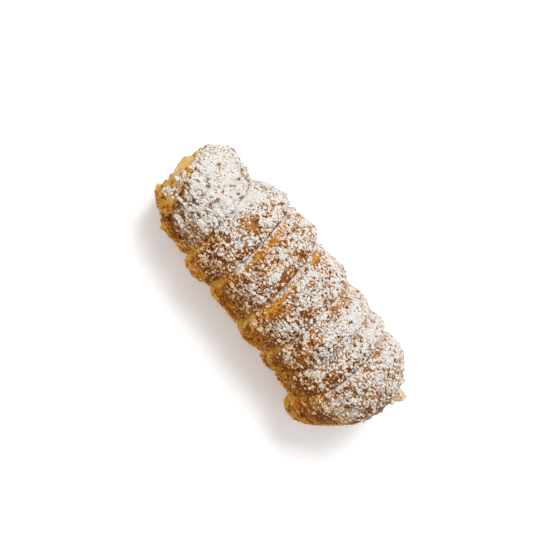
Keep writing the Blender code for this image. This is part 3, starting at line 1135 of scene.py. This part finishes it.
@dataclass
class PastryShell:
    """The pastry: a wound strip with broken ends and a bore."""

    strip: WoundStrip = field(default_factory=WoundStrip)
    bore: Bore = field(default_factory=Bore)
    relief: CrustRelief = field(default_factory=CrustRelief)
    finish: CrustFinish = field(default_factory=CrustFinish)
    stations_per_band: int = 44
    crowding: float = 0.62
    steps_round: int = 270
    snap: float = 0.012
    weld: float = 4e-6
    face_rings: int = 30
    face_step: float = 0.0009
    face_ripple: float = 0.0004
    face_layers: int = 9
    face_jags: tuple[float, float, float] = (0.8, 6.0, 9.0)
    raggedness: tuple[float, float] = (0.0009, 0.0003)
    depths: tuple[float, float, float] = (0.15, 0.85, 2.0)
    inside: tuple[float, float] = (-2.0, 0.2)
    broken_sizes: tuple[tuple[float, float], ...] = ((14, 5), (5, 11))
    broken_rise: float = 0.00060
    broken_rough: Mottle = ((700, 0.0004),)
    broken_brown: float = 0.50
    broken_crumb: Fade = Fade(0.2, 0.5, 0.75)
    broken_flaky: float = 0.9
    broken_spots: Mottle = ((260, 0.7),)
    broken_under: tuple[float, float, float] = (-95, 50, 0.32)
    broken_below: Fade = Fade(-0.3, 0.4, 0.35)
    broken_far: Fade = Fade(-0.2, 0.5, 0.8)
    broken_dusting: Fade = Fade(0.1, 0.6, 0.6)
    stub_sugar: float = 0.15
    stub_pale: float = 1.1
    coated: Fade = Fade(-0.1, 0.9)

    def stations(self) -> list[float]:
        """Places across all bands, closer together towards the seams.

        Returns:
            The places, in turns.
        """
        ways = [step / self.stations_per_band for step in range(self.stations_per_band)]
        eased = [way - self.crowding * math.sin(math.tau * way) / math.tau for way in ways]
        return [band + way for band in range(-1, len(self.strip.seam_places) + 1) for way in eased]

    def wind(self, bm: BMesh) -> None:
        """Lays a grid along the wound strip and cuts it at the mouth and the tail.

        Args:
            bm: The mesh.
        """
        stations = self.stations()
        bmesh.ops.create_grid(bm, x_segments=len(stations) - 1, y_segments=self.steps_round, size=0.5)
        angles, turns = bm.verts.layers.float.new("angle"), bm.verts.layers.float.new("turn")
        for vert in bm.verts:
            station = stations[round((vert.co.x + 0.5) * (len(stations) - 1))]
            angle = math.pi - math.tau * turn_round(vert.co.y, self.steps_round)
            turn = station - (angle - self.strip.front_flank) / math.tau
            first = self.strip.turn_at(self.strip.mouth_edge(angle))
            last = self.strip.turn_at(self.strip.tail_edge(angle))
            turn = first if turn < first + self.snap else last if turn > last - self.snap else turn
            vert.co = self.strip.point(turn, angle)
            vert[angles], vert[turns] = angle, turn
        bmesh.ops.remove_doubles(bm, verts=bm.verts, dist=self.weld)

    def face_point(self, edge: Vector, lip: Vector, angle: float, share: float) -> Vector:
        """A point of the wall's broken end: a step down from the crust's edge, then a rippled round.

        Args:
            edge: The crust's edge at this angle.
            lip: The bore's lip at this angle.
            angle: The angle round the tube.
            share: 0 at the crust, 1 at the lip.

        Returns:
            The point.
        """
        middle = Vector((lip.x, (edge.y + lip.y) / 2, (edge.z + lip.z) / 2))
        corner = edge - self.face_step * Vector((0, math.sin(angle), math.cos(angle)))
        point = lip.lerp(corner, math.sqrt(max(1 - share**2, 0.0)))
        point.x = corner.x + (lip.x - corner.x) * share
        swell = self.face_ripple * math.cos(share * self.face_layers * math.pi) * (share < 1)
        depth, scale, shift = self.face_jags
        swell *= 1 + jagged(angle, depth, scale, shift * share)
        return point + swell * (point - middle).normalized()

    def close_face(self, bm: BMesh, ring: Ring, lip_place: Callable[[float], float]) -> Ring:
        """Closes the wall's end, ring by ring, from the crust's edge to the bore's lip.

        Args:
            bm: The mesh.
            ring: The crust's edge.
            lip_place: Where the lip lies along the tube, for an angle.

        Returns:
            The lip's ring.
        """
        angles, broken = bm.verts.layers.float["angle"], bm.verts.layers.float["broken"]
        edges = {round(vert[angles], 4): vert.co.copy() for edge in ring for vert in edge.verts}
        for step in range(self.face_rings):

            def settle(vert: BMVert, share: float = step / (self.face_rings - 1)) -> Vector:
                """Places one vertex of this ring.

                Args:
                    vert: The vertex.
                    share: 0 at the crust, 1 at the lip.

                Returns:
                    Its place.
                """
                angle = vert[angles]
                vert[broken] = self.depths[0] + self.depths[1] * share
                lip = self.bore.point(lip_place(angle), angle)
                return self.face_point(edges[round(angle, 4)], lip, angle, share)

            ring = extend_ring(bm, ring, settle)
        return ring

    def rim(self, bm: BMesh, tail: bool) -> Ring:
        """The open edges at one end."""
        return [edge for edge in bm.edges if edge.is_boundary and (edge.verts[0].co.x > 0) == tail]

    def break_open(self, spot: Spot, depth: float) -> tuple[float, float, float, float]:
        """The surface of the wall's broken end, which shows the layers inside the pastry.

        Args:
            spot: The point.
            depth: Towards 1 at the bore's lip.

        Returns:
            How much less sugar lies there, how brown it is, its relief, and how far it is torn along X.
        """
        beside, level = math.sin(spot.angle), math.cos(spot.angle)
        flaky, torn = (rough(deep * depth, wide * level, wide * beside) for deep, wide in self.broken_sizes)
        rise = self.broken_rise * flaky + mottled(spot.co, self.broken_rough)
        brown = self.broken_brown - self.broken_crumb.at(depth) + self.broken_flaky * flaky
        brown += mottled(spot.co, self.broken_spots)
        brown += self.broken_under[2] * hill(spot.angle, *self.broken_under[:2])
        brown += self.broken_below.at(-spot.facing) - self.broken_far.at(spot.angle)
        return 1.0 - self.broken_dusting.at(spot.facing), brown, rise, self.raggedness[spot.co.x > 0] * torn

    def dress(self, bm: BMesh) -> None:
        """Raises the fine relief and stores sugar and browning on the vertices.

        Args:
            bm: The mesh.
        """
        layers, relief = bm.verts.layers.float, self.relief
        angles, turns, broken = layers["angle"], layers["turn"], layers["broken"]
        sugar, bake, film = (layers.new(name) for name in ("sugar", "bake", "film"))
        bm.normal_update()
        moves, (thinnest, lumpiest) = [], relief.sugar_lumps
        for vert in bm.verts:
            angle, depth = vert[angles], vert[broken]
            if depth > 1:
                vert[sugar], vert[bake] = self.inside
                continue
            across, along = self.strip.strip_place(vert[turns], angle)
            crown = self.strip.crown(across, tilt_at(angle))
            spot = Spot(vert.co, vert.normal.z, angle, along, across, crown)
            details = relief.details(spot)
            amount, brown = relief.sugar(spot, details), relief.bake(spot, details)
            rise, torn = relief.height(spot, details), 0.0
            if depth > 0:
                loss, brown, rise, torn = self.break_open(spot, depth)
                amount -= loss
            stub = self.strip.tail_flake(vert.co.x, angle)
            amount, brown = amount + (self.stub_sugar - amount) * stub, brown - self.stub_pale * stub
            coat = self.coated.at(amount)
            rise += relief.sugar_depth * coat * (thinnest + lumpiest * details["lumps"])
            rise += relief.chunk_height * coat * details["chunks"]
            vert[sugar], vert[bake] = amount, brown
            vert[film] = relief.film(spot) * (depth == 0) * (1 - stub)
            moves += (vert, Vector((torn, 0, 0))), (vert, vert.normal * rise)
        for vert, move in moves:
            vert.co += move

    def build(self) -> Object:
        """Makes the pastry in place of its plain solid.

        Returns:
            The piece.
        """
        bm = bmesh.new()
        self.wind(bm)
        broken = bm.verts.layers.float.new("broken")
        ring = self.close_face(bm, self.rim(bm, tail=False), self.strip.mouth_lip)
        angles = bm.verts.layers.float["angle"]

        def line_bore(vert: BMVert, station: float) -> Vector:
            """Places one vertex of the bore's wall."""
            vert[broken] = self.depths[2]
            return self.bore.point(station, vert[angles])

        for station in self.bore.stations:
            ring = extend_ring(bm, ring, lambda vert, station=station: line_bore(vert, station))
        open_end = [edge for edge in self.rim(bm, tail=True) if edge not in set(ring)]
        tail_ring = self.close_face(bm, open_end, self.strip.tail_lip)
        bmesh.ops.bridge_loops(bm, edges=ring + tail_ring)
        self.strip.set_down(bm)
        bmesh.ops.dissolve_degenerate(bm, dist=self.weld, edges=bm.edges)
        face_outward(bm)
        self.dress(bm)
        for vert in bm.verts:
            vert.co.z = max(vert.co.z, 0.0)
        for name in ("angle", "turn", "broken"):
            bm.verts.layers.float.remove(bm.verts.layers.float[name])
        piece = piece_from(bm, "pastry_crust", self.finish.build(), Slot.CRUST)
        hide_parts("pastry_shell")
        return piece


# ---------------------------------------------------------------- custard


@dataclass
class CustardFilling:
    """The custard that fills the tube and bulges out of both ends."""

    strip: WoundStrip = field(default_factory=WoundStrip)
    bore: Bore = field(default_factory=Bore)
    finish: CustardFinish = field(default_factory=CustardFinish)
    ends: tuple[float, float] = (-0.0566, 0.0578)
    bulges: tuple[float, float] = (0.0050, 0.0020)
    gap: float = 0.0003
    blob: tuple[float, float, float] = (-0.007, 0.001, 0.6)
    dome_rings: int = 22
    steps_round: int = 120
    weld: float = 2e-5
    waves: tuple[float, float, float] = (0.30, 260.0, 3.3)
    ripple: tuple[float, float, float] = (0.0005, 900.0, 5.1)
    ripple_from: Fade = Fade(0.0, 0.2)
    shown: tuple[float, float] = (0.93, 0.36)
    dried: Fade = Fade(-0.003, -0.008)

    def wave(self, point: Vector, depth: float, scale: float, shift: float) -> float:
        """Waves over the custard's ends."""
        return depth * rough(scale * point.y, scale * point.z, shift)

    def shown_side(self, point: Vector) -> float:
        """How far a point lies towards the side that stands up most."""
        return self.shown[0] * point.y + self.shown[1] * point.z

    def point(self, step: int, rings: int, angle: float) -> Vector:
        """A point of the custard.

        Args:
            step: The ring's number, from the mouth.
            rings: The number of the last ring.
            angle: The angle round the tube.

        Returns:
            The point, with the tube's axis on X.
        """
        if self.dome_rings < step < rings - self.dome_rings:
            return self.bore.point(self.bore.stations[step - self.dome_rings - 1], angle, self.gap)
        at_mouth = step <= self.dome_rings
        rise = 1 - (step if at_mouth else rings - step) / self.dome_rings
        base = self.ends[0] if at_mouth else self.ends[1]
        rim = self.bore.point(base, angle, self.gap)
        middle = sum((self.bore.point(base, quarter * math.pi / 2) for quarter in range(4)), Vector()) / 4
        point = middle.lerp(rim, math.cos(rise * math.pi / 2))
        depth, scale, shift = self.waves
        swell = math.sin(rise * math.pi / 2) * (1 + self.wave(point, depth, scale, shift * base))
        fine = self.wave(point, *self.ripple) * self.ripple_from.at(rise)
        if not at_mouth:
            point.x += self.bulges[1] * swell + fine
            return point
        low, high, share = self.blob
        upward = ramp(self.shown_side(point), low, high)
        point.x -= self.bulges[0] * swell * (1 - share + share * upward) + fine
        return point

    def build(self) -> Object:
        """Makes the custard in place of its plain solid.

        Returns:
            The piece.
        """
        bm = bmesh.new()
        rings = 2 * self.dome_rings + len(self.bore.stations) + 1
        bmesh.ops.create_grid(bm, x_segments=rings, y_segments=self.steps_round, size=0.5)
        dry = bm.verts.layers.float.new("dry")
        for vert in bm.verts:
            angle = math.tau * turn_round(vert.co.y, self.steps_round) - math.pi
            vert.co = self.point(round((vert.co.x + 0.5) * rings), rings, angle)
            vert[dry] = self.dried.at(self.shown_side(vert.co))
        bmesh.ops.remove_doubles(bm, verts=bm.verts, dist=self.weld)
        self.strip.set_down(bm)
        face_outward(bm)
        piece = piece_from(bm, "custard", self.finish.build(), Slot.CUSTARD)
        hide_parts("custard_filling")
        return piece


# ---------------------------------------------------------------- flakes


@dataclass
class PastryFlakes:
    """Thin scales of broken layers that stand out round the mouth."""

    shell: PastryShell
    count: int = 130
    from_angle: float = math.radians(-165)
    to_angle: float = math.radians(25)
    half_width: tuple[float, float] = (0.0005, 0.0016)
    half_length: tuple[float, float] = (0.0003, 0.0009)
    thickness: float = 0.00016
    curl: float = 0.35
    outermost: float = 1.6
    lifts: tuple[float, float] = (-0.2, 0.9)
    taper: float = 0.45
    ragged: tuple[float, float, float] = (0.25, 0.12, 0.3)
    browning: tuple[float, float] = (-0.5, 0.75)
    paler_above: Fade = Fade(-0.6, 0.2, 0.6)
    brown_tips: float = 0.5
    dusting: tuple[float, Mottle] = (-0.75, ((400, 0.5),))
    seed: int = 31

    def root(self, angle: float, share: float) -> Vector:
        """A place on the mouth's broken end.

        Args:
            angle: The angle round the tube.
            share: 0 at the crust's edge, 1 at the bore's lip.

        Returns:
            The place, with the tube's axis on X.
        """
        strip, bore = self.shell.strip, self.shell.bore
        edge = strip.point(strip.turn_at(strip.mouth_edge(angle)), angle)
        return self.shell.face_point(edge, bore.point(strip.mouth_lip(angle), angle), angle, share)

    def scale(self, bm: BMesh, chance: random.Random) -> None:
        """Adds one scale: a ragged, curled patch of a grid, placed on the broken end.

        Args:
            bm: The mesh.
            chance: The source of its shape and place.
        """
        angle, share = chance.uniform(self.from_angle, self.to_angle), chance.random() ** self.outermost
        outward = Vector((0, math.sin(angle), math.cos(angle)))
        ahead = (Vector((-1, 0, 0)) + chance.uniform(*self.lifts) * outward).normalized()
        across = Vector((0, math.cos(angle), -math.sin(angle)))
        wide, long = chance.uniform(*self.half_width), chance.uniform(*self.half_length)
        frame_of = Matrix((across * wide, ahead * long, across.cross(ahead) * wide)).transposed()
        root, bake = self.root(angle, share), chance.uniform(*self.browning) - self.paler_above.at(angle)
        made = bmesh.ops.create_grid(bm, x_segments=4, y_segments=2, size=1.0)["verts"]
        browned = bm.verts.layers.float["bake"]
        for vert in made:
            across_it, along_it = vert.co.x, vert.co.y
            taper, bend, reach = (chance.uniform(-most, most) for most in self.ragged)
            taper += 1 - self.taper * max(along_it, 0.0)
            bend -= self.curl * across_it**2
            vert.co = root + frame_of @ Vector((across_it * taper, along_it + reach, bend))
            vert[browned] = bake + self.brown_tips * max(along_it, 0.0)

    def build(self) -> Object:
        """Makes the scales as one piece.

        Returns:
            The piece.
        """
        bm, chance = bmesh.new(), random.Random(self.seed)
        bare, layers = self.dusting
        bm.verts.layers.float.new("bake")
        sugar = bm.verts.layers.float.new("sugar")
        for _ in range(self.count):
            self.scale(bm, chance)
        bmesh.ops.solidify(bm, geom=bm.faces, thickness=self.thickness)
        bmesh.ops.recalc_face_normals(bm, faces=bm.faces)
        for vert in bm.verts:
            vert[sugar] = mottled(vert.co, layers, bare)
        self.shell.strip.set_down(bm)
        return piece_from(bm, "pastry_flakes", self.shell.finish.build(), Slot.CRUST)


# ---------------------------------------------------------------- icing sugar


@dataclass
class SugarClumps:
    """One kind of loose sugar: small rounded clumps that sit on the crust."""

    name: str
    count: int
    radius: tuple[float, float]
    cover: tuple[float, float]
    sunk: float
    seed: int
    finish: Material
    stretches: tuple[tuple[float, float], ...] = ((1.0, 1.6), (0.7, 1.1), (0.5, 0.8))
    turned: float = 0.5
    lumpy: tuple[float, float] = (0.8, 1.15)
    soaked_where: Fade = Fade(0.6, -0.1)
    facing_up: Fade = Fade(0.0, 0.5)
    soft_ends: float = 0.25

    def spots(self, crust: Object) -> list[tuple[Vector, Vector, float]]:
        """Picks places on the crust where sugar of this kind has stayed.

        Args:
            crust: The pastry with its vertex number sugar.

        Returns:
            Places, outward directions and how thick the sugar lies there.
        """
        mesh, chance = crust.data, random.Random(self.seed)
        sugar = np.zeros(len(mesh.vertices), np.float32)
        mesh.attributes["sugar"].data.foreach_get("value", sugar)
        low, high = self.cover
        amounts = [float(np.mean(sugar[list(face.vertices)])) for face in mesh.polygons]
        wanted = []
        for face, amount in zip(mesh.polygons, amounts):
            likely = ramp(amount, low, low + self.soft_ends) * (1 - ramp(amount, high, high + self.soft_ends))
            wanted.append(face.area * likely * self.facing_up.at(face.normal.z))
        heap = list(accumulate(wanted))
        picked = []
        for _ in range(self.count):
            chosen = bisect(heap, chance.random() * heap[-1])
            face = mesh.polygons[chosen]
            first, second = sorted((chance.random(), chance.random()))
            corners = [mesh.vertices[corner].co for corner in face.vertices]
            shares = first, second - first, 1 - second
            spot = sum((share * corner for share, corner in zip(shares, corners)), Vector())
            picked.append((spot, face.normal.copy(), amounts[chosen]))
        return picked

    def build(self, crust: Object) -> Object:
        """Makes the clumps as one piece.

        Args:
            crust: The pastry that they sit on.

        Returns:
            The piece.
        """
        spots, chance = self.spots(crust), random.Random(self.seed + 1)
        bm = bmesh.new()
        numbers, soaked = bm.verts.layers.int.new("clump"), bm.verts.layers.float.new("soaked")
        bmesh.ops.create_icosphere(bm, subdivisions=1, radius=1.0)
        made = 1
        while made < len(spots):
            keep = min(made, len(spots) - made)
            geometry = [item for group in (bm.verts, bm.edges, bm.faces) for item in group
                        if self.number(item, numbers) < keep]
            copies = bmesh.ops.duplicate(bm, geom=geometry)["geom"]
            for vert in only(BMVert, copies):
                vert[numbers] += made
            made += keep
        shapes = []
        for spot, outward, amount in spots:
            radius = self.radius[0] + (self.radius[1] - self.radius[0]) * chance.random() ** 2
            along = (Vector((1, 0, 0)) - outward * outward.x).normalized()
            turn = Matrix((along, outward.cross(along), outward)).transposed()
            turn @= Matrix.Rotation(chance.gauss(0, self.turned), 3, "Z")
            stretch = Matrix.Diagonal([chance.uniform(*limits) for limits in self.stretches])
            shape = turn @ stretch * radius
            shapes.append((spot - outward * radius * self.sunk, shape, self.soaked_where.at(amount)))
        for vert in bm.verts:
            spot, shape, vert[soaked] = shapes[vert[numbers]]
            vert.co = spot + shape @ (vert.co * chance.uniform(*self.lumpy))
            vert.co.z = max(vert.co.z, 0.0)
        bm.verts.layers.int.remove(numbers)
        return piece_from(bm, self.name, self.finish, Slot.SUGAR)

    @staticmethod
    def number(item: object, numbers: object) -> int:
        """The clump that a vertex, edge or face belongs to."""
        vert = item if isinstance(item, BMVert) else item.verts[0]
        return vert[numbers]


# ---------------------------------------------------------------- studio


@dataclass
class Studio:
    """A pale floor, soft lights and the camera."""

    focus: Vector = field(default_factory=lambda: Vector((-0.0003, 0.0023, 0.0204)))
    toward_camera: Vector = field(default_factory=lambda: Vector((-0.127, -0.354, 0.927)).normalized())
    roll: float = math.radians(51.7)
    aim: tuple[float, float] = (-0.005867, 0.008138)
    distance: float = 0.476
    lens: float = 85.0
    floor_size: float = 3.0
    world_light: float = 0.62
    sensor: float = 36.0
    lights: tuple[tuple, ...] = (
        ("key", (-0.24, 0.40, 0.90), 7.4, 0.50, (1.0, 0.985, 0.96)),
        ("fill", (-0.40, -0.70, 0.65), 0.8, 0.8, (1.0, 0.99, 0.97)),
    )

    def axes(self) -> tuple[Vector, Vector]:
        """The camera's right and up directions.

        Returns:
            The two directions.
        """
        along = Vector((1, 0, 0))
        along = (along - self.toward_camera * along.dot(self.toward_camera)).normalized()
        beside = self.toward_camera.cross(along)
        right = math.cos(self.roll) * along + math.sin(self.roll) * beside
        return right, math.cos(self.roll) * beside - math.sin(self.roll) * along

    def camera(self) -> None:
        """Sets up the camera."""
        right, up = self.axes()
        data = bpy.data.cameras.new("camera")
        data.lens, data.sensor_width = self.lens, self.sensor
        obj = put("camera", data)
        place = Matrix((right, up, self.toward_camera)).transposed().to_4x4()
        place.translation = self.focus + self.aim[0] * right + self.aim[1] * up
        place.translation += self.toward_camera * self.distance
        obj.matrix_world = place
        bpy.context.scene.camera = obj

    def light(self, name: str, direction: Vector, energy: float, size: float, tint: tuple) -> None:
        """Adds one soft light.

        Args:
            name: The light's name.
            direction: From the pastry to the light, as long as its distance.
            energy: Its power in watts.
            size: The side of its square.
            tint: Its colour.
        """
        data = bpy.data.lights.new(name, "AREA")
        data.energy, data.size, data.color = energy, size, tint
        obj = put(name, data)
        obj.location = self.focus + direction
        obj.rotation_euler = direction.to_track_quat("Z", "Y").to_euler()

    def floor(self) -> None:
        """Lays the floor."""
        bm = bmesh.new()
        bmesh.ops.create_grid(bm, x_segments=1, y_segments=1, size=self.floor_size / 2)
        mesh = bpy.data.meshes.new("floor")
        bm.to_mesh(mesh)
        bm.free()
        mesh.materials.append(FloorFinish().build())
        put("floor", mesh)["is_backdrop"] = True

    def build(self) -> None:
        """Sets up the floor, the lights, the world and the camera."""
        self.floor()
        for name, direction, energy, size, tint in self.lights:
            self.light(name, Vector(direction), energy, size, tint)
        world = bpy.data.worlds.new("studio")
        world.use_nodes = True
        backdrop = world.node_tree.nodes["Background"]
        backdrop.inputs["Color"].default_value = (1.0, 1.0, 1.0, 1.0)
        backdrop.inputs["Strength"].default_value = self.world_light
        bpy.context.scene.world = world
        bpy.context.scene.view_settings.view_transform = "Standard"
        self.camera()
        log.info("studio ready")


def main() -> None:
    """Builds the dressed pastry and the studio."""
    logging.basicConfig(level=logging.INFO, format="%(name)s: %(message)s")
    shell = PastryShell()
    crust = shell.build()
    PastryFlakes(shell).build()
    CustardFilling().build()
    sugar = SugarFinish().build()
    SugarClumps("sugar_clumps", 4600, (0.00028, 0.00070), (0.0, 0.9), 0.12, 11, sugar).build(crust)
    SugarClumps("sugar_grains", 5200, (0.00018, 0.00034), (-0.35, 0.55), 0.0, 23, sugar).build(crust)
    Studio().build()
    corners = [list(corner) for corner in (*CAD_BOX, *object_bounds())]


if __name__ == "__main__":
    main()
